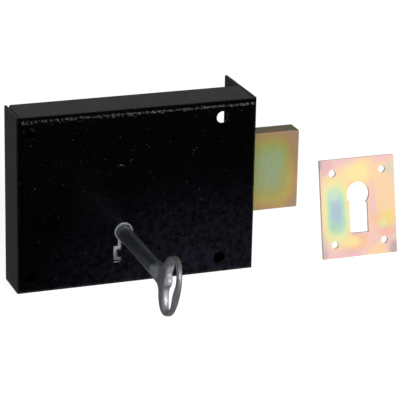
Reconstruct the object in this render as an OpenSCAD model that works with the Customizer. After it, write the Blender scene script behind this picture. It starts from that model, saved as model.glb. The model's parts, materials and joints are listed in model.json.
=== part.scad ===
// Rim box lock with a thrown dead bolt, its key and a loose escutcheon.
// Sizes are in millimetres. +X points along the bolt, +Y into the door and +Z up.
// Shapes are drawn from the lower left front corner of the case, then moved to the origin:
// the middle of the fixing holes, on the face of the door.

/* [Case] */
// Width of the case across the front
case_w = 120; // [117:0.5:130]
// Height of the case
case_h = 88; // [80:0.5:100]
// Depth of the case, from the front face to the door
case_d = 23; // [22.5:0.5:27]
// Thickness of the folded sheet
sheet_t = 1.2; // [1:0.1:1.5]
// Outside radius of the folded edges
bend_r = 2.6; // [2:0.1:3.2]
// Length of the forend past the back of the case
lap_l = 19; // [12:1:24]
// Thickness of the back cover
cover_t = 1.5; // [1.2:0.1:1.8]

/* [Fixing holes] */
// Diameter of the fixing holes
fix_d = 6; // [4.5:0.5:6.5]
// Fixing holes from the left side of the case
fix_left = 6; // [6:0.5:8]
// Fixing holes from the forend
fix_right = 18; // [15:0.5:19]
// Fixing holes from the top and the bottom
fix_edge = 8; // [7:0.5:9]

/* [Bolt] */
// Height of the bolt bar
bolt_h = 40; // [36:0.5:42]
// Thickness of the bolt bar
bolt_t = 10; // [8:0.5:12]
// Height of the bolt's middle above the bottom of the case
bolt_z = 48; // [47:0.5:49]
// How far the thrown bolt stands out of the forend
bolt_out = 25; // [22.5:0.5:26]
// Travel of the bolt
throw = 25; // [20:0.5:25]
// Thickness of the bolt's tail
tail_t = 4; // [3:0.5:4.5]

/* [Key] */
// Key axis from the left side of the case
key_x = 52.5; // [52:0.5:54]
// Key axis above the bottom of the case
key_z = 26.8; // [25:0.1:27]
// Diameter of the key's shank
shank_d = 7.4; // [7:0.1:8]
// Reach of the bit from the key axis
bit_r = 15.4; // [14:0.1:15.5]
// Distance from the front face to the near side of the bow
bow_out = 55.5; // [45:0.5:65]
// Length of the bow along the key
bow_l = 21; // [18:0.5:26]
// Width of the bow across the key
bow_w = 27.5; // [25:0.5:34]
// Thickness of the bow
bow_t = 3; // [2.4:0.1:4]
// Angle of the bow about the key axis, against the bit
bow_turn = 10; // [0:1:15]

/* [Levers] */
// Thickness of each lever
lever_t = 1.6; // [1.2:0.1:1.8]
// Angle that a lever drops when the key has gone past
lever_drop = 4; // [3:0.5:4.5]

/* [Escutcheon] */
// Width of the escutcheon
esc_w = 40.5; // [36:0.5:46]
// Height of the escutcheon
esc_h = 50; // [46:0.5:58]
// Thickness of the escutcheon
esc_t = 1.5; // [1:0.1:2.5]
// Gap between the forend and the escutcheon
esc_gap = 38; // [30:1:60]
// Angle that the escutcheon leans back
esc_lean = 12; // [0:1:20]

/* [Hidden] */
$fn = 48;
cut = 1;

paint_black = "#1b1b1d";
zinc_yellow = "#c3ad6f";
zinc_bright = "#b9bbb8";
steel_dark = "#55595c";
steel_spring = "#4c5662";

// Clearances: end play, sliding fit, running fit, and the key in its profile
play = 0.3;
slide_gap = 0.2;
run_gap = 0.05;
key_gap = 0.2;

// Inside of the case along Y, and the middle plane that bolt, tail and bit share
in_y0 = sheet_t;
in_y1 = case_d - cover_t;
mid_y = (in_y0 + in_y1) / 2;
in_z1 = case_h - sheet_t;

// Fixing holes
fix_x = [fix_left, case_w - fix_right];
fix_z = [fix_edge, case_h - fix_edge];
origin_x = (fix_x[0] + fix_x[1]) / 2;
origin_z = (fix_z[0] + fix_z[1]) / 2;

// Open seams of the folded corners
seam = 0.4;
seam_notch = 1.6;

// Bolt head and the slot that its tail sits in
bolt_y0 = mid_y - bolt_t / 2;
bolt_y1 = mid_y + bolt_t / 2;
bolt_z0 = bolt_z - bolt_h / 2;
bolt_z1 = bolt_z + bolt_h / 2;
bolt_x1 = case_w + bolt_out;
bolt_edge = 0.5;
head_in = 14;
head_x0 = case_w - head_in;
tongue_l = 11;
tongue_x1 = head_x0 + tongue_l;

// Guide plate behind the forend
plate_t = 3;
plate_rim = 8;

// Stud that guides the tail, with its riveted end on the front face
guide_side = 2;
guide_rise = 9.5;
guide_x = key_x - guide_side;
guide_z = bolt_z + guide_rise;
guide_d = 6;
guide_shoulder_d = 11;
guide_tenon_d = 5;
guide_head_d = 7;
guide_head_h = 0.4;

// Bolt tail: its lower edge lies inside the sweep of the bit by the depth of the talon
talon_depth = 3.4;
talon_gap = 0.5;
tooth_w = 8;
tail_rim = 5;
tail_under = 2;
tail_y0 = mid_y - tail_t / 2;
tail_y1 = mid_y + tail_t / 2;
tail_z0 = key_z + bit_r - talon_depth;
slot_r = guide_d / 2 + slide_gap;
tail_z1 = guide_z + slot_r + tail_rim;
tail_x0 = guide_x - slot_r - tail_rim;
tail_step_z = guide_z - slot_r - tail_under;

// Rivets through the head and the tail, about the middle of the tail
rivet_d = 5;
rivet_pitch = 16;
rivet_x = head_x0 + tongue_l / 2;
tail_mid_z = (tail_z0 + tail_z1) / 2;
rivet_z = [tail_mid_z - rivet_pitch / 2, tail_mid_z + rivet_pitch / 2];

// Profile of the bit below the key axis, with a ward groove high on the left and low on the right
bit_x0 = -4.9;
bit_x1 = -0.8;
ward_w = 2.2;
ward_high = 7.1;
ward_low = [9.2, 12.8];
bit_y0 = in_y0 + play;

// Talon notch: one turn of the key carries the tail through the whole throw
bit_in = acos((tail_z0 - key_z) / bit_r);
bit_side = bit_r * sin(bit_in);
bit_lead = asin(-bit_x1 / bit_r);
bit_lag = asin(-bit_x0 / bit_r);
notch_x0 = key_x - bit_side + throw * (180 + bit_in + bit_lead) / 360 - talon_gap;
notch_x1 = key_x + bit_side + throw * (180 - bit_in + bit_lag) / 360 + talon_gap;
notch_z1 = key_z + bit_r + talon_gap;
tooth_x0 = notch_x0 - tooth_w;

// Key drum and curtain
keyhole_d = 9.4;
journal_d = keyhole_d - 2 * run_gap;
drum_bore_d = shank_d + 4 * run_gap;
drum_d = 13;
curtain_t = 1.2;
curtain_rim = 1.8;
curtain_r = bit_r + curtain_rim;
drum_in = 0.1;

// Levers, one behind the other on their post behind the tail
pivot_x = 17;
pivot_below = 3;
pivot_z = bolt_z - pivot_below;
pivot_d = 6;
pivot_shoulder_d = 10;
lever_gap = 0.4;
lever_y = [tail_y1 + lever_gap, tail_y1 + 2 * lever_gap + lever_t];
hub_r = 6;
hub_waist = 5;
lever_end_gap = 2;
lever_x1 = head_x0 - throw - lever_end_gap;
lever_crest = 1;
lever_z1 = guide_z + lever_crest;
nose_gap = 1;
lever_nose_z = key_z + bit_r + nose_gap;
belly_side = 13;
lever_rim = 5;

// Stump in the gate of the levers
stump_d = 5;
stump_gap = 0.35;
stump_x = lever_x1 - lever_rim - stump_gap - stump_d / 2;
stump_z = bolt_z;
gate_r = stump_d / 2 + stump_gap;
stump_y1 = lever_y[1] + lever_t + lever_gap;

// Bit steps: half length on each side of the middle plane, and reach
lever_step = [1, 1.6];
lever_cut = [bit_r - lever_step[0], bit_r - lever_step[1]];
step_bolt = tail_t / 2 + lever_gap / 2;
step_lever = step_bolt + lever_t + lever_gap;
step_end = step_lever + lever_t + lever_gap;
bit_end_step = 0.4;
bit_end_r = bit_r - bit_end_step;

// Lever springs: a foot on the lever's top edge and a leaf that rises to the top wall
spring_t = 0.6;
spring_foot_in = 14;
spring_foot_l = 8;
spring_foot_rim = 2;
spring_foot_x0 = pivot_x + spring_foot_in;
spring_foot_x1 = spring_foot_x0 + spring_foot_l;
spring_x1 = stump_x;
spring_steps = 14;

// Cover, pillars and screws
cover_gap = 0.2;
cover_clear = 6;
cover_x1 = fix_x[1] - cover_clear;
cover_foot_z = fix_z[0] + cover_clear;
pillar_d = 8;
pillar_left = 8;
pillar_right = 7;
pillar_below = [6, 12];
pillar_top_z = (bolt_z1 + in_z1) / 2;
pillar_x = [fix_left + pillar_left, cover_x1 - pillar_right];
pillar_at = [
    [pillar_x[0], key_z - pillar_below[0]], [pillar_x[0], pillar_top_z],
    [pillar_x[1], key_z - pillar_below[1]], [pillar_x[1], pillar_top_z]
];
screw_d = 4;
screw_head_d = screw_d + 2 * cover_t;
screw_l = 11;
screw_slot = 0.9;

// Key bow: an oval ring with a kidney opening, and a flared neck from the shank
bow_mid = bow_out + bow_l / 2;
bow_bar = 3.4;
bow_round = 0.7;
bow_nub_r = 4.2;
neck_l = 8;
neck_set = 0.2;
neck_side = 0.4;
neck_taper = 3;
neck_t = bow_t - 2 * neck_set;
tip_out = 1;
key_tip = in_y1 + tip_out;
tip_cone = 0.8;

// Escutcheon
esc_corner = 0.3;
esc_hole_d = 3.7;
esc_hole_side = 6.75;
esc_hole_edge = 7;
esc_key_d = 12.2;
esc_waist = 4.5;
esc_key_share = 0.634;
esc_slot_share = 0.24;
esc_key_z = esc_h * esc_key_share;
esc_slot_w = 10;
esc_slot_z = esc_h * esc_slot_share;
esc_x0 = case_w + esc_gap;

// Moves shapes drawn from the corner of the case to the origin
module from_corner() {
    translate([-origin_x, -case_d, -origin_z]) children();
}

// Extrudes an outline drawn in X and Z from y0 to y1
module slab(y0, y1) {
    translate([0, y1, 0]) rotate([90, 0, 0]) linear_extrude(y1 - y0) children();
}

// Round bar along Y
module rod(at, y0, y1, d) {
    slab(y0, y1) translate(at) circle(d = d);
}

// Cone along Y
module cone(at, y0, y1, d0, d1) {
    translate([at[0], y0, at[1]]) rotate([-90, 0, 0]) cylinder(h = y1 - y0, d1 = d0, d2 = d1);
}

module box(x0, x1, y0, y1, z0, z1) {
    translate([x0, y0, z0]) cube([x1 - x0, y1 - y0, z1 - z0]);
}

// Rectangle set in from the sheet's outside, rounded at its two front corners
module front_rounded(len, inset, depth) {
    translate([inset, bend_r]) square([len - 2 * inset, depth - bend_r]);
    translate([bend_r, inset]) square([len - 2 * bend_r, depth - inset]);
    for (x = [bend_r, len - bend_r]) translate([x, bend_r]) circle(bend_r - inset);
}

// Block whose four front edges are rounded like folds and meet in mitres
module pan(inset, depth) {
    intersection() {
        linear_extrude(case_h) front_rounded(case_w, inset, depth);
        rotate([90, 0, 90]) linear_extrude(case_w) mirror([1, -1]) front_rounded(case_h, inset, depth);
    }
}

// Outline of the bit below the key axis, widened by a gap
module bit_outline(gap) {
    polygon([
        [bit_x0 + ward_w - gap, 0], [bit_x1 + gap, 0],
        [bit_x1 + gap, -ward_low[0] - gap], [bit_x1 - ward_w + gap, -ward_low[0] - gap],
        [bit_x1 - ward_w + gap, -ward_low[1] + gap], [bit_x1 + gap, -ward_low[1] + gap],
        [bit_x1 + gap, -bit_r - gap], [bit_x0 - gap, -bit_r - gap],
        [bit_x0 - gap, -ward_high + gap], [bit_x0 + ward_w - gap, -ward_high + gap]
    ]);
}

module keyhole() {
    translate([key_x, key_z]) {
        circle(d = keyhole_d);
        bit_outline(key_gap);
    }
}

module fixing_holes() {
    for (x = fix_x, z = fix_z) translate([x, z]) circle(d = fix_d);
}

// Opening that the bolt slides through
module bolt_opening(x0, x1) {
    box(
        x0, x1, bolt_y0 - slide_gap, bolt_y1 + slide_gap,
        bolt_z0 - slide_gap, bolt_z1 + slide_gap
    );
}

// Slits where the top and bottom walls meet the side walls, widened to a notch at the back
module corner_seams() {
    for (x = [sheet_t, case_w - sheet_t - seam], z = [-cut, case_h - sheet_t])
        box(x, x + seam, bend_r, case_d + cut, z, z + sheet_t + cut);
    for (z = [-cut, case_h - sheet_t])
        translate([sheet_t, case_d, z]) linear_extrude(sheet_t + cut)
            polygon([[0, 0], [0, -2 * seam_notch], [seam_notch, 0]]);
}

module case_shell() {
    color(paint_black) from_corner() {
        difference() {
            pan(0, case_d);
            pan(sheet_t, case_d + cut);
            slab(-cut, sheet_t + cut) {
                keyhole();
                fixing_holes();
                translate([guide_x, guide_z]) circle(d = guide_tenon_d);
            }
            bolt_opening(case_w - sheet_t - cut, case_w + cut);
            corner_seams();
        }
        box(case_w - sheet_t, case_w, case_d - sheet_t, case_d + lap_l, 0, case_h);
    }
}

module bolt_guide_plate() {
    x1 = case_w - sheet_t;
    color(zinc_bright) from_corner() difference() {
        box(x1 - plate_t, x1, bend_r, in_y1, bolt_z0 - plate_rim, bolt_z1 + plate_rim);
        bolt_opening(x1 - plate_t - cut, x1 + cut);
    }
}

module back_cover() {
    edge = sheet_t + cover_gap;
    color(zinc_bright) from_corner() difference() {
        slab(in_y1, case_d) difference() {
            polygon([
                [edge, edge], [case_w - edge, edge], [case_w - edge, cover_foot_z], [cover_x1, cover_foot_z],
                [cover_x1, case_h - edge], [edge, case_h - edge]
            ]);
            keyhole();
            fixing_holes();
        }
        for (at = pillar_at) cone(at, in_y1, case_d, screw_d, screw_head_d);
    }
}

module cover_pillars() {
    color(zinc_bright) from_corner() for (at = pillar_at) difference() {
        rod(at, in_y0, in_y1, pillar_d);
        rod(at, in_y1 - screw_l + cover_t, in_y1 + cut, screw_d);
    }
}

module cover_screws() {
    color(zinc_yellow) from_corner() for (at = pillar_at) difference() {
        union() {
            cone(at, in_y1, case_d, screw_d, screw_head_d);
            rod(at, in_y1 - screw_l + cover_t, in_y1, screw_d);
        }
        translate([at[0], case_d, at[1]])
            cube([screw_head_d + cut, 2 * screw_slot, screw_slot], center = true);
    }
}

module bolt_guide_stud() {
    at = [guide_x, guide_z];
    color(paint_black) from_corner() {
        cone(at, -guide_head_h, 0, guide_tenon_d, guide_head_d);
        rod(at, 0, in_y0, guide_tenon_d);
        rod(at, in_y0, tail_y0 - slide_gap, guide_shoulder_d);
        rod(at, tail_y0 - slide_gap, tail_y1 + slide_gap, guide_d);
    }
}

module lever_pivot_post() {
    at = [pivot_x, pivot_z];
    shoulder_y1 = lever_y[0] - slide_gap;
    color(zinc_bright) from_corner() {
        rod(at, in_y0, shoulder_y1, pivot_shoulder_d);
        rod(at, shoulder_y1, in_y1, pivot_d);
    }
}

module lever_spacer() {
    at = [pivot_x, pivot_z];
    y0 = lever_y[1] + lever_t + slide_gap;
    color(zinc_bright) from_corner() difference() {
        rod(at, y0, in_y1, pivot_shoulder_d);
        rod(at, y0 - cut, in_y1 + cut, pivot_d);
    }
}

module key_drum() {
    at = [key_x, key_z];
    color(zinc_bright) from_corner() difference() {
        union() {
            rod(at, drum_in, case_d - drum_in, journal_d);
            rod(at, in_y0 + play, in_y1 - play, drum_d);
        }
        rod(at, -cut, case_d + cut, drum_bore_d);
        slab(-cut, case_d + cut) translate(at) bit_outline(key_gap);
    }
}

module key_curtain() {
    color(zinc_bright) from_corner() slab(in_y0 + play, in_y0 + play + curtain_t)
        translate([key_x, key_z]) difference() {
            circle(curtain_r);
            circle(d = drum_d);
            bit_outline(key_gap);
        }
}

// Part of the bit between two distances from the middle plane, on both sides of it
module bit_step(near, far, reach) {
    for (y = [mid_y - far, mid_y + near])
        slab(y, y + far - near) translate([key_x, key_z]) intersection() {
            bit_outline(0);
            circle(reach);
        }
}

// Extrudes an outline drawn along and across the key to a thickness, turned about the key axis
module blade(t) {
    translate([key_x, 0, key_z]) rotate([0, bow_turn, 0]) translate([-t / 2, 0, 0])
        rotate([90, 0, 90]) linear_extrude(t) children();
}

function oval(a, b) = [for (i = [0 : $fn - 1]) [a * cos(360 * i / $fn), b * sin(360 * i / $fn)]];

// Ring of the bow, set in from its full outline on every edge
module bow_ring(inset) {
    hole_l = bow_l / 2 - bow_bar + inset;
    translate([-bow_mid, 0]) difference() {
        polygon(oval(bow_l / 2 - inset, bow_w / 2 - inset));
        difference() {
            polygon(oval(hole_l, bow_w / 2 - bow_bar + inset));
            translate([hole_l, 0]) circle(bow_nub_r - inset);
        }
    }
}

// Flared neck from the shank into both sides of the bow
module neck_outline() {
    w0 = shank_d / 2 - neck_side;
    w1 = bow_w / 2 - bow_bar;
    l = neck_l + bow_bar;
    side = [for (t = [0 : 0.1 : 1]) [neck_l - bow_out - l * t, w0 + (w1 - w0) * t * t]];
    polygon(concat(side, [for (i = [len(side) - 1 : -1 : 0]) [side[i][0], -side[i][1]]]));
}

module key() {
    at = [key_x, key_z];
    neck_y = neck_l - bow_out;
    color(steel_dark) from_corner() {
        cone(at, neck_y - neck_taper, neck_y, neck_t, shank_d);
        rod(at, neck_y, key_tip - tip_cone, shank_d);
        cone(at, key_tip - tip_cone, key_tip, shank_d, shank_d - 2 * tip_cone);
        bit_step(0, step_bolt, bit_r);
        bit_step(step_bolt, step_lever, lever_cut[0]);
        bit_step(step_lever, step_end, lever_cut[1]);
        bit_step(step_end, mid_y - bit_y0, bit_end_r);
        blade(bow_t - 2 * bow_round) bow_ring(0);
        blade(bow_t) bow_ring(bow_round);
        difference() {
            blade(neck_t) neck_outline();
            blade(neck_t + cut) translate([-bow_mid, 0])
                polygon(oval(bow_l / 2 - bow_bar, bow_w / 2 - bow_bar));
        }
    }
}

// Rectangle from [x0, y0] to [x1, y1] with its four corners cut
module cut_corners(x0, x1, y0, y1, c) {
    polygon([
        [x0 + c, y0], [x1 - c, y0], [x1, y0 + c], [x1, y1 - c],
        [x1 - c, y1], [x0 + c, y1], [x0, y1 - c], [x0, y0 + c]
    ]);
}

module bolt_head() {
    color(zinc_yellow) from_corner() difference() {
        intersection() {
            translate([0, 0, bolt_z0]) linear_extrude(bolt_h)
                cut_corners(head_x0, bolt_x1, bolt_y0, bolt_y1, bolt_edge);
            slab(bolt_y0, bolt_y1) cut_corners(head_x0, bolt_x1, bolt_z0, bolt_z1, bolt_edge);
            translate([head_x0, 0, 0]) rotate([90, 0, 90]) linear_extrude(bolt_x1 - head_x0)
                cut_corners(bolt_y0, bolt_y1, bolt_z0, bolt_z1, bolt_edge);
        }
        box(head_x0 - cut, tongue_x1, tail_y0, tail_y1, tail_z0, tail_z1);
        for (z = rivet_z) rod([rivet_x, z], bolt_y0 - cut, bolt_y1 + cut, rivet_d);
    }
}

module bolt_tail() {
    color(zinc_yellow) from_corner() slab(tail_y0, tail_y1) difference() {
        polygon([
            [tail_x0, tail_step_z], [tooth_x0, tail_step_z], [tooth_x0, tail_z0],
            [tongue_x1, tail_z0], [tongue_x1, tail_z1], [tail_x0, tail_z1]
        ]);
        translate([notch_x0, tail_z0 - cut]) square([notch_x1 - notch_x0, notch_z1 - tail_z0 + cut]);
        translate([guide_x, guide_z - slot_r]) square([throw, 2 * slot_r]);
        for (x = [guide_x, guide_x + throw]) translate([x, guide_z]) circle(slot_r);
        translate([stump_x, stump_z]) circle(d = stump_d);
        for (z = rivet_z) translate([rivet_x, z]) circle(d = rivet_d);
    }
}

module bolt_rivets() {
    color(zinc_yellow) from_corner() for (z = rivet_z) rod([rivet_x, z], bolt_y0, bolt_y1, rivet_d);
}

module bolt_stump() {
    color(zinc_bright) from_corner() rod([stump_x, stump_z], tail_y0, stump_y1, stump_d);
}

// Room for the stump in a lever that drops about the pivot
module lever_pocket(x) {
    rise = (x - pivot_x) * sin(lever_drop);
    shift = (stump_z - pivot_z) * sin(lever_drop) + (x - pivot_x) * (1 - cos(lever_drop));
    translate([x - gate_r - shift, stump_z - gate_r]) square([2 * gate_r + shift, 2 * gate_r + rise]);
}

// Plate of a lever right of its pivot, with the belly's two horns at the bottom
module lever_plate() {
    polygon([
        [pivot_x, pivot_z + hub_waist], [spring_foot_x0 - spring_foot_rim, lever_z1], [lever_x1, lever_z1],
        [lever_x1, lever_nose_z], [key_x + belly_side, tail_z0], [key_x - belly_side, tail_z0],
        [pivot_x, pivot_z - hub_waist]
    ]);
}

// Gate with a pocket at each end, and the belly that the bit passes under
module lever_openings(reach) {
    translate([stump_x - throw, stump_z - gate_r]) square([throw, 2 * gate_r]);
    lever_pocket(stump_x);
    lever_pocket(stump_x - throw);
    translate([key_x, key_z]) circle(reach + play);
}

module lever(i) {
    y0 = lever_y[i];
    y1 = y0 + lever_t;
    at = [pivot_x, pivot_z];
    color(zinc_bright) from_corner() difference() {
        union() {
            rod(at, y0, y1, 2 * hub_r);
            slab(y0, y1) lever_plate();
        }
        rod(at, y0 - cut, y1 + cut, pivot_d + 2 * run_gap);
        slab(y0 - cut, y1 + cut) lever_openings(lever_cut[i]);
    }
}

// Leaf with a flat foot that rises in an easy curve to lie along the top wall
module lever_spring(i) {
    rise = in_z1 - slide_gap - spring_t - lever_z1;
    leaf = [for (k = [0 : spring_steps])
        let (t = k / spring_steps)
        [spring_foot_x1 + (spring_x1 - spring_foot_x1) * t, lever_z1 + rise * t * t * (3 - 2 * t)]];
    lower = concat([[spring_foot_x0, lever_z1]], leaf);
    upper = [for (k = [len(lower) - 1 : -1 : 0]) lower[k] + [0, spring_t]];
    color(steel_spring) from_corner() slab(lever_y[i], lever_y[i] + lever_t) polygon(concat(lower, upper));
}

module front_lever() {
    lever(0);
}

module front_lever_spring() {
    lever_spring(0);
}

module rear_lever() {
    lever(1);
}

module rear_lever_spring() {
    lever_spring(1);
}

module escutcheon() {
    color(zinc_yellow) from_corner() translate([esc_x0, 0, esc_t * sin(esc_lean)]) rotate([-esc_lean, 0, 0])
        slab(0, esc_t) difference() {
            cut_corners(0, esc_w, 0, esc_h, esc_corner);
            for (x = [esc_hole_side, esc_w - esc_hole_side], z = [esc_hole_edge, esc_h - esc_hole_edge])
                translate([x, z]) circle(d = esc_hole_d);
            translate([esc_w / 2, esc_key_z]) circle(d = esc_key_d);
            translate([(esc_w - esc_slot_w) / 2, esc_slot_z])
                square([esc_slot_w, esc_key_z - esc_waist - esc_slot_z]);
        }
}

case_shell();
bolt_guide_plate();
back_cover();
cover_pillars();
cover_screws();
bolt_guide_stud();
lever_pivot_post();
lever_spacer();
key_drum();
key_curtain();
key();
bolt_head();
bolt_tail();
bolt_rivets();
bolt_stump();
front_lever();
front_lever_spring();
rear_lever();
rear_lever_spring();
escutcheon();
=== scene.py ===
import json
import math

import bmesh
import bpy
from mathutils import Matrix, Vector


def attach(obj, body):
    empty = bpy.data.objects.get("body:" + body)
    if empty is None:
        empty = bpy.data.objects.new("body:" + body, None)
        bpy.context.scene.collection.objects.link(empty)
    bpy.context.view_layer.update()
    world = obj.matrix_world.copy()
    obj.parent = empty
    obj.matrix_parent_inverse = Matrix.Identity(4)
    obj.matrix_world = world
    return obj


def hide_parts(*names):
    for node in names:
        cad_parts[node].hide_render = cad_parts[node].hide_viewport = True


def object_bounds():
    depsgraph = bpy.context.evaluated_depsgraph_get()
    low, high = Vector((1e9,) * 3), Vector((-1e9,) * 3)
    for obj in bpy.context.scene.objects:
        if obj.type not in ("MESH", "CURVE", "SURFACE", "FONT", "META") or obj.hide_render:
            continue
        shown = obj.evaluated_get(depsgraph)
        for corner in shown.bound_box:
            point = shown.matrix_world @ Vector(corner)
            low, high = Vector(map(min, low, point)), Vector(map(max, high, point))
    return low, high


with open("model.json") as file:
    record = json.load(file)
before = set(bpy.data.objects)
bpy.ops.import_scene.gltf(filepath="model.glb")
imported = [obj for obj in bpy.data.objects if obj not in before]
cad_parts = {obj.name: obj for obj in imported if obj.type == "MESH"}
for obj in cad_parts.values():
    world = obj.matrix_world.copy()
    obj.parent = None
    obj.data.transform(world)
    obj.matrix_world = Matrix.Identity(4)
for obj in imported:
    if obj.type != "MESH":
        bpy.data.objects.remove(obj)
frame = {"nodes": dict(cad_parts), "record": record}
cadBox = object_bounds()
nodes = frame["nodes"]
record = frame["record"]
bodyOf = {name: body for body, names in record["behaviour"]["bodies"].items() for name in names}
slotOf = {entry["node"]: entry["material_slot"] for entry in record["subparts"]}
mm = 0.001
noiseMiddle = 0.5
noiseSpan = (0.3, 0.7)  # where most of a noise's values lie
print("frame loaded:", len(nodes), "nodes")


# Small helpers for node trees

def startFinish(name):
    finish = bpy.data.materials.new(name)
    finish.use_nodes = True
    tree = finish.node_tree
    tree.nodes.clear()
    shader = tree.nodes.new("ShaderNodeBsdfPrincipled")
    output = tree.nodes.new("ShaderNodeOutputMaterial")
    tree.links.new(shader.outputs["BSDF"], output.inputs["Surface"])
    return finish, shader


def addNode(tree, kind, inputs=None, **settings):
    made = tree.nodes.new("ShaderNode" + kind)
    for key, value in settings.items():
        setattr(made, key, value)
    for key, value in (inputs or {}).items():
        if isinstance(value, bpy.types.NodeSocket):
            tree.links.new(value, made.inputs[key])
        else:
            made.inputs[key].default_value = value
    return made


def joinSockets(tree, shader, sockets):
    for key, value in sockets.items():
        tree.links.new(value, shader.inputs[key])


# Object coordinates from a middle, measured in a size
def objectPoint(tree, middle=(0, 0, 0), size=(1, 1, 1)):
    coords = addNode(tree, "TexCoord")
    placed = {"Vector": coords.outputs["Object"], "Location": middle, "Scale": size}
    return addNode(tree, "Mapping", placed, vector_type="TEXTURE").outputs["Vector"]


def axesOf(tree, point):
    return addNode(tree, "SeparateXYZ", {0: point}).outputs


def noiseAt(tree, point, scale, detail=3.0, rough=0.5, twist=0.0):
    inputs = {"Vector": point, "Scale": scale, "Detail": detail, "Roughness": rough, "Distortion": twist}
    return addNode(tree, "TexNoise", inputs).outputs["Fac"]


def cellsAt(tree, point, scale, smooth=None):
    if smooth is None:
        cells = addNode(tree, "TexVoronoi", {"Vector": point, "Scale": scale}, feature="F1")
    else:
        inputs = {"Vector": point, "Scale": scale, "Smoothness": smooth}
        cells = addNode(tree, "TexVoronoi", inputs, feature="SMOOTH_F1")
    return cells.outputs["Distance"]


# Soft step of a value from low to high
def spread(tree, value, low, high, toLow=0.0, toHigh=1.0):
    inputs = {"Value": value, "From Min": low, "From Max": high, "To Min": toLow, "To Max": toHigh}
    return addNode(tree, "MapRange", inputs, interpolation_type="SMOOTHSTEP").outputs["Result"]


# One value where the factor is 0, another where it is 1
def between(tree, factor, a, b):
    return addNode(tree, "MapRange", {"Value": factor, "To Min": a, "To Max": b}).outputs["Result"]


def sums(tree, operation, a, b):
    return addNode(tree, "Math", {0: a, 1: b}, operation=operation).outputs["Value"]


def product(tree, first, *others):
    for other in others:
        first = sums(tree, "MULTIPLY", first, other)
    return first


def ramp(tree, factor, stops):
    made = addNode(tree, "ValToRGB", {"Fac": factor})
    stripe = made.color_ramp.elements
    while len(stripe) < len(stops):
        stripe.new(0.5)
    for element, (place, colour) in zip(stripe, stops):
        element.position = place
        element.color = (*colour, 1.0)
    return made.outputs["Color"]


def mixed(tree, factor, a, b):
    made = addNode(tree, "Mix", data_type="RGBA")
    for socket, value in ((made.inputs[0], factor), (made.inputs[6], a), (made.inputs[7], b)):
        if isinstance(value, bpy.types.NodeSocket):
            tree.links.new(value, socket)
        elif isinstance(value, tuple):
            socket.default_value = (*value, 1.0)
        else:
            socket.default_value = value
    return made.outputs[2]


def bumped(tree, height, depth, strength=1.0, under=None):
    inputs = {"Height": height, "Distance": depth, "Strength": strength}
    if under is not None:
        inputs["Normal"] = under
    return addNode(tree, "Bump", inputs).outputs["Normal"]


# Lighter on the faces of the broken edges, more in some places than in others: abraded edges, and on the bolt
# and the plate also painted highlights
edgeWearAndLightLook = {"noise": (160, 3), "span": (0.3, 0.6), "least": 0.4}


def wornAndLitEdges(tree, tint, colour, most):
    mark = addNode(tree, "Attribute", attribute_name="wear").outputs["Fac"]
    noise = noiseAt(tree, objectPoint(tree), *edgeWearAndLightLook["noise"])
    patchy = spread(tree, noise, *edgeWearAndLightLook["span"], most * edgeWearAndLightLook["least"], most)
    return mixed(tree, product(tree, mark, patchy), tint, colour)


# Soft oval that is 1 in the middle and 0 at its rim
def spot(tree, middle, radii, inner=0.0):
    point = objectPoint(tree, middle, radii)
    length = addNode(tree, "VectorMath", {0: point}, operation="LENGTH").outputs["Value"]
    return spread(tree, length, inner, 1.0, 1.0, 0.0)


# Distance from the middle in X and Z, squarer than an oval with a higher power
def squareReach(tree, point, power):
    parts = axesOf(tree, point)
    powers = []
    for axis in ("X", "Z"):
        size = addNode(tree, "Math", {0: parts[axis]}, operation="ABSOLUTE").outputs["Value"]
        powers.append(sums(tree, "POWER", size, power))
    return sums(tree, "POWER", sums(tree, "ADD", *powers), 1 / power)


# Black textured paint on the case, with a purplish tint and a painted sheen that make it lighter towards the
# lower right
# Lengths are in metres, and a noise is scale, detail, roughness and distortion
casePaintLook = {
    "deep": (0.0001, 0.0001, 0.0002), "light": (0.0005, 0.0005, 0.0008),
    "cloud": (45, 4), "cloudStops": (0.35, 0.7), "violetSheen": (0.0088, 0.0077, 0.0140),
    "violetSheenAt": (0.040, -0.023, -0.046), "violetSheenSize": (0.105, 0.050, 0.062),
    "uneven": (380, 3, 0.6), "unevenSpan": (0.35, 0.65), "unevenLeast": 0.25,
    "speck": (0.048, 0.048, 0.056), "specks": 270, "speckReach": 0.11, "speckMost": 0.9,
    "scuff": (0.022, 0.022, 0.024), "bottomGlintUp": (-0.0434, -0.0414),
    "dust": (0.060, 0.060, 0.062), "dustAndSheenUp": (0.0436, 0.0439), "dustAndSheenLeast": 0.75, "dustRough": 0.18,
    "wrinkle": (640, 2, 0.5, 0.9), "wrinkleDepth": 0.00008, "pits": 512, "pitSmooth": 0.6, "pitShare": 0.6,
    "grain": (2600, 2), "grainDepth": 0.000015, "nibs": 95, "nibReach": 0.08, "nibDepth": 0.00026,
    "folds": (800, 2), "foldStretch": (1, 1.6, 1.6), "foldDepth": 0.00060,
    "foldsFront": (-0.02295, -0.02265), "foldsBack": (-0.0210, -0.0206),
    "stripUp": (0.0397, 0.0405), "stripFront": (-0.02275, -0.02235), "stripTaper": 0.0080,
    "easedAlong": (-0.060, 0.050), "easedUp": (0.0400, 0.0418), "easedBack": (-0.0212, -0.0206),
    "easedTilt": (0.236, 0.400), "easedGloss": (0.04, 0.17),
    "rough": (0.22, 0.34), "specular": 0.36, "insideRough": 0.95,
    "inside": [("X", -0.0535, 0.0653), ("Y", -0.0222, 0.0300), ("Z", -0.0434, 0.0390)],
}


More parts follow.
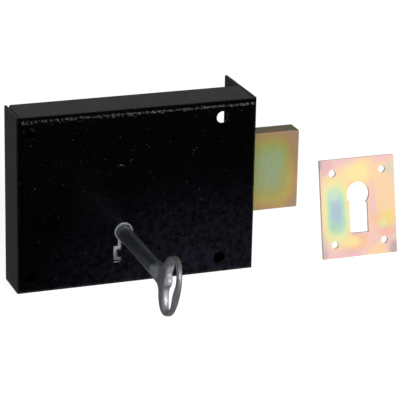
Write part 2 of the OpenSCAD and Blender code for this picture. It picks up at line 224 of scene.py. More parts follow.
def casePaintTint(tree, point, parts):
    look = casePaintLook
    cloud = noiseAt(tree, point, *look["cloud"])
    tint = ramp(tree, cloud, list(zip(look["cloudStops"], (look["deep"], look["light"]))))
    uneven = spread(tree, noiseAt(tree, point, *look["uneven"]), *look["unevenSpan"], look["unevenLeast"])
    # a purplish tint with a painted sheen, lighter towards the lower right
    violetSheen = product(tree, uneven, spot(tree, look["violetSheenAt"], look["violetSheenSize"]))
    tint = mixed(tree, violetSheen, tint, look["violetSheen"])
    specks = cellsAt(tree, point, look["specks"])
    specks = spread(tree, specks, 0.0, look["speckReach"], look["speckMost"], 0.0)
    tint = mixed(tree, specks, tint, look["speck"])
    glintBelow = spread(tree, parts["Z"], *look["bottomGlintUp"], 1.0, 0.0)  # a painted highlight along the bottom edge
    tint = mixed(tree, product(tree, glintBelow, uneven), tint, look["scuff"])
    dustAndSheenOnTop = spread(tree, parts["Z"], *look["dustAndSheenUp"])  # a fine dusting and a painted sheen lighten the top
    thick = spread(tree, cloud, *noiseSpan, look["dustAndSheenLeast"])
    return mixed(tree, product(tree, dustAndSheenOnTop, thick), tint, look["dust"]), dustAndSheenOnTop


# The top bend catches the light as a rounder bend does, more so towards the right
def easedNormal(tree, parts):
    look = casePaintLook
    tilt = product(
        tree, spread(tree, parts["X"], *look["easedAlong"], *look["easedTilt"]),
        spread(tree, parts["Z"], *look["easedUp"]), spread(tree, parts["Y"], *look["easedBack"], 1.0, 0.0),
    )
    lean = addNode(tree, "CombineXYZ", {"Z": tilt}).outputs["Vector"]
    normal = addNode(tree, "NewGeometry").outputs["Normal"]
    leaning = addNode(tree, "VectorMath", {0: normal, 1: lean}, operation="ADD").outputs["Vector"]
    return addNode(tree, "VectorMath", {0: leaning}, operation="NORMALIZE").outputs["Vector"]


# 1 on the bends and on a strip below the top bend, which is wider on the right
def foldedPart(tree, parts):
    look = casePaintLook
    ahead = spread(tree, parts["Y"], *look["foldsFront"])
    bent = product(tree, ahead, spread(tree, parts["Y"], *look["foldsBack"], 1.0, 0.0))
    tapered = sums(tree, "ADD", parts["Z"], product(tree, parts["X"], look["stripTaper"]))
    strip = spread(tree, tapered, *look["stripUp"])
    strip = product(tree, strip, spread(tree, parts["Y"], *look["stripFront"], 1.0, 0.0))
    return sums(tree, "MAXIMUM", bent, strip)


def casePaintFinish():
    look = casePaintLook
    finish, shader = startFinish("casePaint")
    tree = finish.node_tree
    point = objectPoint(tree)
    parts = axesOf(tree, point)
    tint, dustAndSheenOnTop = casePaintTint(tree, point, parts)
    wrinkle = noiseAt(tree, point, *look["wrinkle"])
    pits = cellsAt(tree, point, look["pits"], look["pitSmooth"])
    height = sums(tree, "ADD", wrinkle, product(tree, pits, look["pitShare"]))
    relief = bumped(tree, height, look["wrinkleDepth"], 1.0, easedNormal(tree, parts))
    folded = foldedPart(tree, parts)  # short crinkles where the sheet was folded
    crinkle = noiseAt(tree, objectPoint(tree, size=look["foldStretch"]), *look["folds"])
    height = product(tree, folded, sums(tree, "SUBTRACT", crinkle, noiseMiddle))
    relief = bumped(tree, height, look["foldDepth"], 1.0, relief)
    nibs = spread(tree, cellsAt(tree, point, look["nibs"]), 0.0, look["nibReach"], 1.0, 0.0)
    relief = bumped(tree, nibs, look["nibDepth"], 1.0, relief)
    relief = bumped(tree, noiseAt(tree, point, *look["grain"]), look["grainDepth"], 1.0, relief)
    gloss = product(tree, folded, spread(tree, parts["X"], *look["easedAlong"], *look["easedGloss"]))
    rough = sums(tree, "SUBTRACT", spread(tree, wrinkle, *noiseSpan, *look["rough"]), gloss)
    rough = sums(tree, "ADD", rough, product(tree, dustAndSheenOnTop, look["dustRough"]))
    limits = []
    for axis, low, high in look["inside"]:  # the paint is thin and dull inside
        limits.append(sums(tree, "GREATER_THAN", parts[axis], low))
        limits.append(sums(tree, "LESS_THAN", parts[axis], high))
    rough = between(tree, product(tree, *limits), rough, look["insideRough"])
    joinSockets(tree, shader, {"Base Color": tint, "Normal": relief, "Roughness": rough})
    shader.inputs["Specular IOR Level"].default_value = look["specular"]
    return finish


# Mottling, abraded edges with painted edge highlights, and sockets that the two passivated finishes share
def passivate(tree, shader, look, tint, mottle, relief):
    mottled = spread(tree, mottle, *look["mottleSpan"], 0.0, look["mottleMost"])
    tint = mixed(tree, mottled, tint, look["mottleTint"])
    tint = wornAndLitEdges(tree, tint, look["edge"], look["edgeWearAndLight"])
    rough = spread(tree, mottle, *noiseSpan, *look["rough"])
    joinSockets(tree, shader, {"Base Color": tint, "Normal": relief, "Roughness": rough})
    shader.inputs["Metallic"].default_value = look["metallic"]


# Yellow passivated zinc on the bolt: grey green in the middle, then olive and ochre,
# and brown or orange to mauve at the edges
boltLook = {
    "middle": (0.0760, -0.0117, 0.0045), "half": (0.0150, 1.0, 0.0218), "square": 3.4,
    "drift": (110, 2, 0.5, 0.4), "driftStretch": (1, 1, 2.2), "driftMost": 0.30,
    "upperFrom": (-0.3, 0.4),
    "upper": [
        (0.00, (0.29, 0.37, 0.21)), (0.40, (0.28, 0.36, 0.17)), (0.58, (0.31, 0.33, 0.09)),
        (0.72, (0.36, 0.28, 0.08)), (0.86, (0.37, 0.22, 0.10)), (1.00, (0.35, 0.22, 0.15)),
    ],
    "lower": [
        (0.00, (0.30, 0.37, 0.22)), (0.38, (0.32, 0.37, 0.17)), (0.58, (0.38, 0.36, 0.10)),
        (0.76, (0.47, 0.36, 0.10)), (0.90, (0.48, 0.28, 0.11)), (1.00, (0.40, 0.26, 0.17)),
    ],
    "dim": (0.14, 0.18, 0.08), "caseShadeFrom": (-0.75, -0.15), "caseShadeMost": 0.3,
    "sides": [(0.30, (0.36, 0.35, 0.20)), (0.52, (0.42, 0.36, 0.21)), (0.70, (0.44, 0.33, 0.22))],
    "sidesFrom": (-0.0163, -0.0155), "sidesNoise": (60, 3),
    "drawn": (300, 3), "drawnStretch": (0.05, 1, 1), "drawnDepth": 0.00002, "drawnStrength": 0.5,
    "mottle": (420, 4, 0.6), "mottleSpan": (0.35, 0.75), "mottleMost": 0.16,
    # the edge colour is a painted highlight along the bolt's broken edges, with some abrasion
    "mottleTint": (0.20, 0.19, 0.13), "edge": (0.80, 0.60, 0.48), "edgeWearAndLight": 0.8,
    "metallic": 0.25, "rough": (0.42, 0.58),
}


def passivatedBoltFinish():
    look = boltLook
    finish, shader = startFinish("passivatedBolt")
    tree = finish.node_tree
    point = objectPoint(tree)
    local = objectPoint(tree, look["middle"], look["half"])
    drift = noiseAt(tree, objectPoint(tree, size=look["driftStretch"]), *look["drift"])
    drift = product(tree, sums(tree, "SUBTRACT", drift, noiseMiddle), look["driftMost"])
    reach = sums(tree, "ADD", squareReach(tree, local, look["square"]), drift)
    place = axesOf(tree, local)
    upper = spread(tree, place["Z"], *look["upperFrom"])
    tint = mixed(tree, upper, ramp(tree, reach, look["lower"]), ramp(tree, reach, look["upper"]))
    dim = spread(tree, place["X"], *look["caseShadeFrom"], look["caseShadeMost"], 0.0)  # painted shade beside the case
    tint = mixed(tree, dim, tint, look["dim"])
    beside = spread(tree, axesOf(tree, point)["Y"], *look["sidesFrom"])
    tint = mixed(tree, beside, tint, ramp(tree, noiseAt(tree, point, *look["sidesNoise"]), look["sides"]))
    stretched = objectPoint(tree, size=look["drawnStretch"])
    drawn = noiseAt(tree, stretched, *look["drawn"])  # lines along the drawn bar
    relief = bumped(tree, drawn, look["drawnDepth"], look["drawnStrength"])
    passivate(tree, shader, look, tint, noiseAt(tree, point, *look["mottle"]), relief)
    return finish


# Pale passivated plate: peach and pink with yellow drifts, a blue green oval beside the keyhole, and darker
# patches of painted shade at its corners
# A patch has its middle in X and Z and its radii, both in millimetres, and its hue and strength
plateLook = {
    "hues": {
        "peach": (0.96, 0.66, 0.40), "pink": (0.90, 0.57, 0.55), "rose": (0.80, 0.49, 0.50),
        "yellow": (0.96, 0.82, 0.36), "gold": (0.90, 0.71, 0.22), "orange": (0.96, 0.59, 0.27),
        "coral": (0.95, 0.50, 0.38), "lilac": (0.68, 0.54, 0.55), "grey": (0.46, 0.38, 0.38),
        "sage": (0.66, 0.68, 0.54), "lime": (0.78, 0.82, 0.42), "mint": (0.66, 0.79, 0.60),
        "green": (0.44, 0.66, 0.44), "teal": (0.47, 0.74, 0.58), "blue": (0.44, 0.57, 0.66),
    },
    "drift": (48, 2, 0.5, 0.6), "driftStops": [(0.32, "rose"), (0.46, "pink"), (0.64, "peach")],
    "depth": -18.0, "through": 1000.0, "patchInner": 0.25,
    "patches": [
        ((124.5, -2.0), (14, 7.5), "yellow", 0.9),
        ((133.0, 0.0), (6, 6), "peach", 0.7),
        ((137.5, -16.0), (8, 13), "peach", 0.85),
        ((131.9, -20.0), (3.2, 19), "pink", 0.95),
        ((134.2, -26.5), (4, 6), "orange", 0.8),
        ((140.3, -26.4), (6.5, 7), "gold", 0.9),
        ((137.2, -28.6), (3.6, 3.0), "lime", 0.6),
        ((140.2, -33.0), (7, 3.2), "coral", 0.8),
        ((121.4, -36.5), (11, 5.8), "orange", 0.9),
        ((120.0, -36.0), (6.5, 4.2), "yellow", 0.75),
        ((106.6, 2.0), (7, 7), "rose", 0.9),
        ((137.5, 4.0), (8, 3.6), "pink", 0.8),
        ((141.8, -1.5), (4.5, 5), "sage", 0.7),
        ((105.2, -36.0), (4.5, 8), "lilac", 0.8),
        # the darker patches at the corners are painted shade
        ((143.6, -42.0), (5.2, 7.4), "grey", 0.85),
        ((143.8, -35.6), (3.6, 3.2), "sage", 0.7),
        ((104.4, -42.8), (3.6, 6), "grey", 0.5),
        ((103.8, 4.0), (2.4, 5), "grey", 0.8),
    ],
    "ovalAt": (111.9, -20.2), "ovalSize": (5.2, 12.0), "ovalSquare": 3.0, "ovalDrift": 0.5,
    "ovalFade": (1.05, 1.85), "ringsTo": 2.0,
    "rings": [(0.0, "blue"), (0.30, "blue"), (0.76, "teal"), (1.02, "lime"), (1.45, "yellow")],
    "ovalPatches": [((110.8, -12.0), (5.6, 5.2), "mint", 0.8), ((110.4, -28.2), (5.0, 5.2), "green", 0.7)],
    "mottle": (900, 3), "mottleSpan": (0.45, 0.75), "mottleMost": 0.08, "mottleTint": (0.55, 0.45, 0.35),
    "dent": 0.00001, "dentStrength": 0.5,
    # the light edge colour paints light on the plate's edges, with some abrasion
    "edge": (0.90, 0.86, 0.78), "edgeWearAndLight": 0.7, "metallic": 0.2, "rough": (0.34, 0.5),
}


# Middle and radii in metres of a patch that goes through the plate
def throughPlate(middle, radii):
    (x, z), (across, up) = middle, radii
    place = (x * mm, plateLook["depth"] * mm, z * mm)
    return place, (across * mm, plateLook["through"] * mm, up * mm)


def addPatches(tree, tint, patches, inner):
    for middle, radii, hue, strength in patches:
        mask = spot(tree, *throughPlate(middle, radii), inner)
        tint = mixed(tree, product(tree, mask, strength), tint, plateLook["hues"][hue])
    return tint


def passivatedPlateFinish():
    look, hues = plateLook, plateLook["hues"]
    finish, shader = startFinish("passivatedPlate")
    tree = finish.node_tree
    point = objectPoint(tree)
    drift = noiseAt(tree, point, *look["drift"])
    tint = ramp(tree, drift, [(place, hues[hue]) for place, hue in look["driftStops"]])
    tint = addPatches(tree, tint, look["patches"], look["patchInner"])
    oval = objectPoint(tree, *throughPlate(look["ovalAt"], look["ovalSize"]))
    wander = product(tree, sums(tree, "SUBTRACT", drift, noiseMiddle), look["ovalDrift"])
    reach = sums(tree, "ADD", squareReach(tree, oval, look["ovalSquare"]), wander)
    stops = [(place / look["ringsTo"], hues[hue]) for place, hue in look["rings"]]
    rings = ramp(tree, product(tree, reach, 1 / look["ringsTo"]), stops)
    rings = addPatches(tree, rings, look["ovalPatches"], 0.0)
    tint = mixed(tree, spread(tree, reach, *look["ovalFade"], 1.0, 0.0), tint, rings)
    mottle = noiseAt(tree, point, *look["mottle"])
    relief = bumped(tree, mottle, look["dent"], look["dentStrength"])
    passivate(tree, shader, look, tint, mottle, relief)
    return finish


# Grey metals: bright zinc inside, the cover with painted shade on its inner side, dark steel for the pillars
# as painted shade, the cast key with painted light on its bit and painted highlights in its bow, and the
# springs
zincLook = {
    "light": (0.68, 0.69, 0.69), "dark": (0.52, 0.53, 0.54), "rough": (0.30, 0.46),
    "cloud": 60, "dent": 0.00002, "metallic": 0.7, "edge": (0.80, 0.80, 0.79),
    "brushed": (900, 4, 0.7), "brushStretch": (0.03, 1, 1), "brushStrength": 0.8,
    "line": (0.46, 0.47, 0.49), "lineSpan": (0.35, 0.7), "lineMost": 0.35,
    "smudges": (28, 5, 0.6, 0.8), "smudge": (0.44, 0.43, 0.40), "smudgeSpan": (0.52, 0.68),
    "smudgeMost": 0.35, "smudgeRough": 0.10,
}
metalLook = {
    "brightZinc": zincLook,
    "coverZinc": {
        **zincLook, "insideShade": (0.010, 0.009, 0.008), "insideShadeFrom": (-0.0011, -0.0007), "insideShadeMost": 0.97,
    },
    # near-black steel on the pillars is painted shade inside the case
    "pillarShadeSteel": {
        "light": (0.060, 0.058, 0.056), "dark": (0.028, 0.027, 0.026), "rough": (0.30, 0.44),
        "cloud": 120, "dent": 0.00002, "metallic": 0.6, "edge": (0.12, 0.12, 0.12),
    },
    "castKey": {
        "light": (0.38, 0.42, 0.50), "dark": (0.28, 0.31, 0.38), "rough": (0.32, 0.46),
        "cloud": 110, "dent": 0.00004, "metallic": 0.90, "edge": (0.55, 0.55, 0.57),
        "worn": (0.62, 0.62, 0.64), "wornLow": (0.18, 0.18, 0.20), "wornUp": (-0.0310, -0.0250),
        "wornFrom": (-0.0235, -0.0220), "wornMetallic": 0.35,
        "cast": (0.50, 0.50, 0.53), "castDark": (0.33, 0.33, 0.36), "castNoise": (260, 4, 0.6),
        "castFrom": (-0.0740, -0.0695), "castMetallic": 0.84, "castRough": 0.05,
        "through": 1000.0,  # millimetres, as in the next lines
        # spots painted inside the bow stand in for its highlights, the last one dimmer
        "bowHighlights": [  # colour, middle, radii along and up, where it starts to fade, metallic
            ((0.70, 0.70, 0.73), (-1.0, -91.2, -20.0), (6.3, 12.5), 0.86, 0.60),
            ((0.42, 0.42, 0.44), (-1.0, -86.9, -14.6), (2.3, 4.1), 0.30, 0.35),
            ((0.36, 0.36, 0.38), (-1.0, -87.0, -21.9), (2.6, 2.6), 0.20, 0.80),
        ],
    },
    "springSteel": {
        "light": (0.20, 0.23, 0.28), "dark": (0.11, 0.13, 0.17), "rough": (0.24, 0.36),
        "cloud": 90, "dent": 0.00001, "metallic": 1.0, "edge": (0.34, 0.35, 0.38),
    },
}
metalGrain = {
    "cloudDetail": 5, "cloudRough": 0.6, "cloudStops": (0.32, 0.68), "edgeWearAndLight": 0.6,
    "fine": (1400, 3), "fineStrength": 0.6,
}


# The bit is painted light and darker towards the bottom, the shank is turned smooth, and the bow is left as
# cast with painted highlights inside
def keyLightAndCast(tree, look, point, tint):
    parts = axesOf(tree, point)
    bit = spread(tree, parts["Y"], *look["wornFrom"])
    handle = spread(tree, parts["Y"], *look["castFrom"], 1.0, 0.0)
    # painted light on the bit where it shows in the keyhole, darker towards the bottom
    litBit = mixed(tree, spread(tree, parts["Z"], *look["wornUp"]), look["wornLow"], look["worn"])
    speckle = noiseAt(tree, point, *look["castNoise"])
    rawCast = ramp(tree, speckle, list(zip(noiseSpan, (look["castDark"], look["cast"]))))
    tint = mixed(tree, handle, mixed(tree, bit, tint, litBit), rawCast)
    turned = spread(tree, parts["Y"], *look["wornFrom"], look["metallic"], look["wornMetallic"])
    metallic = between(tree, handle, turned, look["castMetallic"])
    for colour, middle, (along, up), fade, share in look["bowHighlights"]:  # painted highlights on the walls inside the bow
        radii = (look["through"] * mm, along * mm, up * mm)
        highlighted = spot(tree, [part * mm for part in middle], radii, fade)
        tint = mixed(tree, highlighted, tint, colour)
        metallic = between(tree, highlighted, metallic, share)
    return tint, metallic, product(tree, handle, look["castRough"])


# Rolled sheet has long fine lines and finger smudges
def brushSheet(tree, look, point, tint, relief, rough):
    lines = noiseAt(tree, objectPoint(tree, size=look["brushStretch"]), *look["brushed"])
    relief = bumped(tree, lines, look["dent"], look["brushStrength"], relief)
    tint = mixed(tree, spread(tree, lines, *look["lineSpan"], 0.0, look["lineMost"]), tint, look["line"])
    smudge = spread(tree, noiseAt(tree, point, *look["smudges"]), *look["smudgeSpan"])
    tint = mixed(tree, product(tree, smudge, look["smudgeMost"]), tint, look["smudge"])
    rough = sums(tree, "ADD", rough, product(tree, smudge, look["smudgeRough"]))
    return tint, relief, rough


def greyMetal(name):
    look = metalLook[name]
    finish, shader = startFinish(name)
    tree = finish.node_tree
    point = objectPoint(tree)
    cloud = noiseAt(tree, point, look["cloud"], metalGrain["cloudDetail"], metalGrain["cloudRough"])
    tint = ramp(tree, cloud, list(zip(metalGrain["cloudStops"], (look["dark"], look["light"]))))
    tint = wornAndLitEdges(tree, tint, look["edge"], metalGrain["edgeWearAndLight"])
    fine = noiseAt(tree, point, *metalGrain["fine"])
    relief = bumped(tree, fine, look["dent"], metalGrain["fineStrength"])
    rough = spread(tree, fine, *noiseSpan, *look["rough"])
    shader.inputs["Metallic"].default_value = look["metallic"]
    if "worn" in look:
        tint, metallic, rougher = keyLightAndCast(tree, look, point, tint)
        rough = sums(tree, "ADD", rough, rougher)
        joinSockets(tree, shader, {"Metallic": metallic})
    if "brushed" in look:
        tint, relief, rough = brushSheet(tree, look, point, tint, relief, rough)
    if "insideShade" in look:  # painted shade on the side that faces the works
        shadedInside = spread(tree, axesOf(tree, point)["Y"], *look["insideShadeFrom"], look["insideShadeMost"], 0.0)
        tint = mixed(tree, shadedInside, tint, look["insideShade"])
    joinSockets(tree, shader, {"Base Color": tint, "Normal": relief, "Roughness": rough})
    return finish


finishes = {
    "case_paint": casePaintFinish(), "passivated_bolt": passivatedBoltFinish(),
    "passivated_plate": passivatedPlateFinish(), "bright_zinc": greyMetal("brightZinc"),
    "key_metal": greyMetal("castKey"), "spring_steel": greyMetal("springSteel"),
}
ownFinishes = {"back_cover": greyMetal("coverZinc"), "cover_pillars": greyMetal("pillarShadeSteel")}
for name, node in nodes.items():
    for index, old in enumerate(node.data.materials):
        node.material_slots[index].link = "OBJECT"
        node.material_slots[index].material = ownFinishes.get(name, finishes[old.name])
print("finishes:", len(finishes) + len(ownFinishes))


# New pieces: a mesh in the shared frame that takes the place of one CAD node

def addPiece(name, mesh, node):
    mesh.name = name
    for face in mesh.polygons:
        face.use_smooth = True
    mesh.materials.clear()
    mesh.materials.append(ownFinishes.get(node, finishes[slotOf[node]]))
    piece = bpy.data.objects.new(name, mesh)
    bpy.context.scene.collection.objects.link(piece)
    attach(piece, bodyOf[node])
    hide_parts(node)
    return piece


# Machined and folded pieces: the CAD shape with its sharp edges broken, by this many millimetres
edgeBreaks = {
    "case_shell": 0.14, "bolt_guide_plate": 0.3, "back_cover": 0.25, "cover_pillars": 0.2,
    "cover_screws": 0.12, "bolt_guide_stud": 0.12, "lever_pivot_post": 0.2, "lever_spacer": 0.15,
    "key_drum": 0.1, "key_curtain": 0.15, "bolt_head": 0.6, "bolt_tail": 0.25, "bolt_rivets": 0.2,
    "bolt_stump": 0.25, "front_lever": 0.2, "rear_lever": 0.2, "escutcheon": 0.18,
}
breakLook = {"weld": 0.002, "flatAngle": 2, "sharpAngle": 32, "creaseAngle": 34, "segments": 3}  # mm, degrees


def breakEdges(node, width):
    look = breakLook
    shape = bmesh.new()
    shape.from_mesh(nodes[node].data)
    wear = shape.faces.layers.float.new("wear")
    bmesh.ops.remove_doubles(shape, verts=shape.verts, dist=look["weld"] * mm)
    flat, sharp = math.radians(look["flatAngle"]), math.radians(look["sharpAngle"])
    bmesh.ops.dissolve_limit(shape, angle_limit=flat, verts=shape.verts, edges=shape.edges)
    corners = [edge for edge in shape.edges if len(edge.link_faces) == 2 and edge.calc_face_angle() > sharp]
    broken = bmesh.ops.bevel(
        shape, geom=corners, offset=width * mm, offset_type="OFFSET", segments=look["segments"], profile=0.5,
        affect="EDGES", clamp_overlap=True, material=-1,
    )
    for face in broken["faces"]:
        face[wear] = 1.0
    first, *rest = node.split("_")
    mesh = bpy.data.meshes.new(node)
    shape.to_mesh(mesh)
    shape.free()
    piece = addPiece(first + "".join(word.capitalize() for word in rest), mesh, node)
    mesh.set_sharp_from_angle(angle=math.radians(look["creaseAngle"]))
    piece.modifiers.new("evenNormals", "WEIGHTED_NORMAL").keep_sharp = True


for node, width in edgeBreaks.items():
    breakEdges(node, width)
print("edges broken:", len(edgeBreaks))


# The cast key, in millimetres from the key axis: X through the bow, Y along the key, Z across the bow
keyLook = {
    "axis": (-1.5, 0, -17.2), "turn": 10, "sagFrom": -24, "sag": (0.0077, 0, -0.0415),
    "shank": [
        (0, -0.5), (2.9, -0.5), (3.7, -1.3), (3.7, -70), (3.7, -71.5), (3.7, -73), (3.7, -74.5), (3.6, -76),
        (3.4, -77), (0, -77.5),
    ],
    "shankSteps": 64, "flatFrom": -70, "flatLength": 6, "flatTo": 0.38,
    "web": [
        (-66, 3.4), (-68, 3.9), (-70.5, 4.3), (-73, 4.5), (-76, 4.6), (-77.6, 5.2), (-79, 6.4), (-80.6, 8.2),
        (-83, 9.4), (-84.6, 9.4),
    ],
    "webThick": 2.8, "barSides": 24, "barRing": 10, "bowSteps": 144,
    "bowMiddle": -89.2, "bowThick": (2.4, 3.7), "squareness": 0.42,
    "bowOuter": (10.7, 14.1, -0.35), "bowInner": (5.8, 11.9, 0.1), "innerShift": -2.0, "innerTilt": -3,
    "waistAt": (0.4, -2.4), "waistHalf": (4.4, 7.0), "waistDepth": (2.6, 1.9),
    "bitMiddle": -11.65, "bitSides": (-4.9, -0.8), "wardDepth": 2.2, "wardHigh": 7.1, "wardLow": (9.2, 12.8),
    "bitSteps": [(0, 2.2, 15.4), (2.2, 4.2, 14.4), (4.2, 6.2, 13.8), (6.2, 9.85, 15.3)],
    "voxel": 0.22, "melt": 5, "meltFactor": 0.5, "castFrom": -58, "castSoft": 10, "castFactor": 0.5,
}


# Closes a flat outline and pulls it out to a slab
def addSlab(shape, outline, pull):
    face = shape.faces.new([shape.verts.new(point) for point in outline])
    pulled = bmesh.ops.extrude_face_region(shape, geom=[face], use_keep_orig=True)
    fresh = [item for item in pulled["geom"] if isinstance(item, bmesh.types.BMVert)]
    bmesh.ops.translate(shape, verts=fresh, vec=pull)


def addShank(shape):
    chain = [shape.verts.new((radius, along, 0)) for radius, along in keyLook["shank"]]
    line = [shape.edges.new(pair) for pair in zip(chain, chain[1:])]
    steps = keyLook["shankSteps"]
    bmesh.ops.spin(shape, geom=chain + line, axis=(0, 1, 0), angle=math.tau, steps=steps, use_merge=True)


# Steps along the bit, each a slab with the profile of the keyhole's wards
def addBit(shape):
    look = keyLook
    left, right = look["bitSides"]
    high, low, deep = look["wardHigh"], look["wardLow"], look["wardDepth"]
    for near, far, reach in look["bitSteps"]:
        ends = [(x, -math.sqrt(reach ** 2 - x ** 2)) for x in (right, (left + right) / 2, left)]
        profile = [
            (left + deep, 0), (right, 0), (right, -low[0]), (right - deep, -low[0]), (right - deep, -low[1]),
            (right, -low[1]), *ends, (left, -high), (left + deep, -high),
        ]
        for start in (look["bitMiddle"] - far, look["bitMiddle"] + near):
            addSlab(shape, [(x, start, z) for x, z in profile], (0, far - near, 0))


# A round bar spun to a ring, then drawn out between two ovals with a squarer section
def addBow(shape):
    look = keyLook
    before = set(shape.verts)
    start = bmesh.ops.create_circle(shape, segments=look["barSides"], radius=1)["verts"]
    bmesh.ops.translate(shape, verts=start, vec=(0, look["barRing"], 0))
    lines = list({edge for vert in start for edge in vert.link_edges})
    steps = look["bowSteps"]
    bmesh.ops.spin(shape, geom=start + lines, axis=(1, 0, 0), angle=math.tau, steps=steps, use_merge=True)
    tilt = Matrix.Rotation(math.radians(look["innerTilt"]), 3, "X")
    for vert in set(shape.verts) - before:
        around = math.atan2(vert.co.z, vert.co.y)
        out = math.hypot(vert.co.y, vert.co.z) - look["barRing"]
        ovals = []
        for long, wide, low in (look["bowOuter"], look["bowInner"]):
            ovals.append(Vector((0, long * math.cos(around), wide * math.sin(around) + low)))
        outer, inner = ovals[0], tilt @ ovals[1]
        near = inner.y < 0
        apart = min(1, abs(inner.z - look["waistAt"][near]) / look["waistHalf"][near])
        waist = (1 + math.cos(math.pi * apart)) / 2  # two bulges part the hole in two lobes
        inner.y -= math.copysign(look["waistDepth"][near] * waist, inner.y)
        inner.y += look["innerShift"]
        through, across = [math.copysign(abs(part) ** look["squareness"], part) for part in (vert.co.x, out)]
        vert.co = (outer + inner) / 2 + (outer - inner) / 2 * across
        thin, thick = look["bowThick"]  # thinner towards the far end
        half = thin / 2 + (thick - thin) / 2 * (1 + math.cos(around)) / 2
        vert.co += Vector((through * half, look["bowMiddle"], 0))


# Flattens the end of the shank towards the thickness of the web
def flattenShank(verts):
    for vert in verts:
        share = min(1, max(0, (keyLook["flatFrom"] - vert.co.y) / keyLook["flatLength"]))
        vert.co.x *= 1 - (1 - keyLook["flatTo"]) * share


# Web, bow, shank and bit as separate forms that the casting then joins
def shapeKey():
    look = keyLook
    shape = bmesh.new()
    outline = [(-look["webThick"] / 2, along, half) for along, half in look["web"]]
    outline += [(x, along, -half) for x, along, half in reversed(outline)]
    addSlab(shape, outline, (look["webThick"], 0, 0))
    addBow(shape)
    before = set(shape.verts)
    addShank(shape)
    flattenShank(set(shape.verts) - before)
    turn = Matrix.Rotation(math.radians(look["turn"]), 3, "Y")
    bmesh.ops.rotate(shape, verts=shape.verts, cent=(0, 0, 0), matrix=turn)
    addBit(shape)
    for vert in shape.verts:  # the key hangs a little in its hole
        vert.co += Vector(look["sag"]) * max(0, look["sagFrom"] - vert.co.y)
    bmesh.ops.translate(shape, verts=shape.verts, vec=look["axis"])
    bmesh.ops.scale(shape, verts=shape.verts, vec=(mm, mm, mm))
    bmesh.ops.recalc_face_normals(shape, faces=shape.faces)
    mesh = bpy.data.meshes.new("roughKey")
    shape.to_mesh(mesh)
    shape.free()
    return mesh


# One skin over all forms, with its edges melted
def castInOne(rough):
    look = keyLook
    form = bpy.data.objects.new("roughKey", rough)
    bpy.context.scene.collection.objects.link(form)
    skin = form.modifiers.new("skin", "REMESH")
    skin.mode = "VOXEL"
    skin.voxel_size = look["voxel"] * mm
    melt = form.modifiers.new("melt", "SMOOTH")
    melt.factor = look["meltFactor"]
    melt.iterations = look["melt"]
    mesh = bpy.data.meshes.new_from_object(form.evaluated_get(bpy.context.evaluated_depsgraph_get()))
    bpy.data.objects.remove(form)
    return mesh


def makeKey():
    look = keyLook
    mesh = castInOne(shapeKey())
    shape = bmesh.new()
    shape.from_mesh(mesh)
    handle = [vert for vert in shape.verts if vert.co.y < look["castFrom"] * mm]
    for step in range(look["castSoft"]):  # the handle has a casting's soft edges
        bmesh.ops.smooth_vert(
            shape, verts=handle, factor=look["castFactor"],
            use_axis_x=True, use_axis_y=True, use_axis_z=True,
        )
    shape.to_mesh(mesh)
    shape.free()
    addPiece("castKey", mesh, "key")
    return len(mesh.polygons)


print("key:", makeKey(), "faces")


# Floor, lights and camera
floorLook = {"half": 4.0, "colour": (0.86, 0.86, 0.86), "rough": 0.9, "glowColour": (1, 1, 1), "glow": 0.86}


def makeFloor():
    look = floorLook
    shape = bmesh.new()
    bmesh.ops.create_grid(shape, x_segments=1, y_segments=1, size=look["half"])
    bmesh.ops.translate(shape, verts=shape.verts, vec=(0, 0, cadBox[0].z))
    mesh = bpy.data.meshes.new("floor")
    shape.to_mesh(mesh)
    shape.free()
    floor = bpy.data.objects.new("floor", mesh)
    bpy.context.scene.collection.objects.link(floor)
    finish, shader = startFinish("paleFloor")
    shader.inputs["Base Color"].default_value = (*look["colour"], 1.0)
    shader.inputs["Roughness"].default_value = look["rough"]
    shader.inputs["Emission Color"].default_value = (*look["glowColour"], 1.0)
    shader.inputs["Emission Strength"].default_value = look["glow"]
    mesh.materials.append(finish)
    floor.visible_glossy = False


makeFloor()

lampAim = (0.04, -0.02, 0.0)
lampSettings = {
    "frontLamp": {"at": (0.50, -0.98, 0.56), "size": (0.44, 0.38), "radiance": 6.6, "gloss": True},
    "fillLamp": {"at": (0.10, -1.30, 0.30), "size": (0.90, 0.60), "radiance": 5.6, "gloss": False},
}
for name, lamp in lampSettings.items():
    data = bpy.data.lights.new(name, "AREA")
    data.shape = "RECTANGLE"
    data.size, data.size_y = lamp["size"]
    data.energy = lamp["radiance"] * math.pi * data.size * data.size_y
    light = bpy.data.objects.new(name, data)
    light.location = lamp["at"]
    light.rotation_euler = (Vector(lampAim) - light.location).to_track_quat("-Z", "Y").to_euler()
    light.visible_glossy = lamp["gloss"]
    bpy.context.scene.collection.objects.link(light)

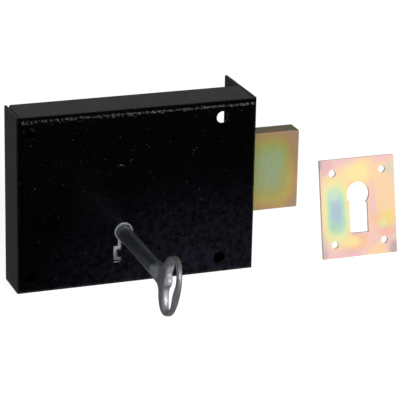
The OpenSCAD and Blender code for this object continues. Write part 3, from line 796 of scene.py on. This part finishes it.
# Grey surround by height, darker in front than behind
surroundLook = {
    "front": [
        (0.0, (0.012, 0.012, 0.014)), (0.40, (0.006, 0.006, 0.008)), (0.62, (0.07, 0.07, 0.075)),
        (0.85, (0.03, 0.03, 0.03)),
    ],
    "behind": [
        (0.0, (0.10, 0.10, 0.10)), (0.40, (0.13, 0.13, 0.135)), (0.62, (0.31, 0.31, 0.315)),
        (0.72, (0.29, 0.29, 0.295)), (0.82, (0.05, 0.05, 0.05)), (1.0, (0.03, 0.03, 0.03)),
    ],
    "behindFrom": (-0.3, 0.3),
}


def makeSurround():
    look = surroundLook
    surround = bpy.data.worlds.new("studio")
    bpy.context.scene.world = surround
    surround.use_nodes = True
    tree = surround.node_tree
    tree.nodes.clear()
    ways = axesOf(tree, addNode(tree, "TexCoord").outputs["Generated"])
    height = addNode(tree, "MapRange", {"Value": ways["Z"], "From Min": -1.0}).outputs["Result"]
    behind = spread(tree, ways["Y"], *look["behindFrom"])
    glow = mixed(tree, behind, ramp(tree, height, look["front"]), ramp(tree, height, look["behind"]))
    shade = addNode(tree, "Background", {"Color": glow, "Strength": 1.0})
    shown = addNode(tree, "OutputWorld")
    tree.links.new(shade.outputs["Background"], shown.inputs["Surface"])


makeSurround()

cameraSettings = {
    "at": (-0.31558, -0.96212, 0.34694), "target": (0.03739, -0.02255, -0.00513),
    "roll": 1.23, "lens": 197.55, "sensor": 36,
}


def makeCamera():
    data = bpy.data.cameras.new("camera")
    data.sensor_width = cameraSettings["sensor"]
    data.lens = cameraSettings["lens"]
    camera = bpy.data.objects.new("camera", data)
    bpy.context.scene.collection.objects.link(camera)
    place = Vector(cameraSettings["at"])
    ahead = (Vector(cameraSettings["target"]) - place).normalized()
    right = ahead.cross(Vector((0, 0, 1))).normalized()
    up = right.cross(ahead)
    roll = math.radians(cameraSettings["roll"])
    turned = right * math.cos(roll) + up * math.sin(roll)
    lifted = up * math.cos(roll) - right * math.sin(roll)
    camera.matrix_world = Matrix.Translation(place) @ Matrix((turned, lifted, -ahead)).transposed().to_4x4()
    bpy.context.scene.camera = camera


makeCamera()
bpy.context.scene.view_settings.view_transform = "Standard"
print("floor, lights and camera placed")
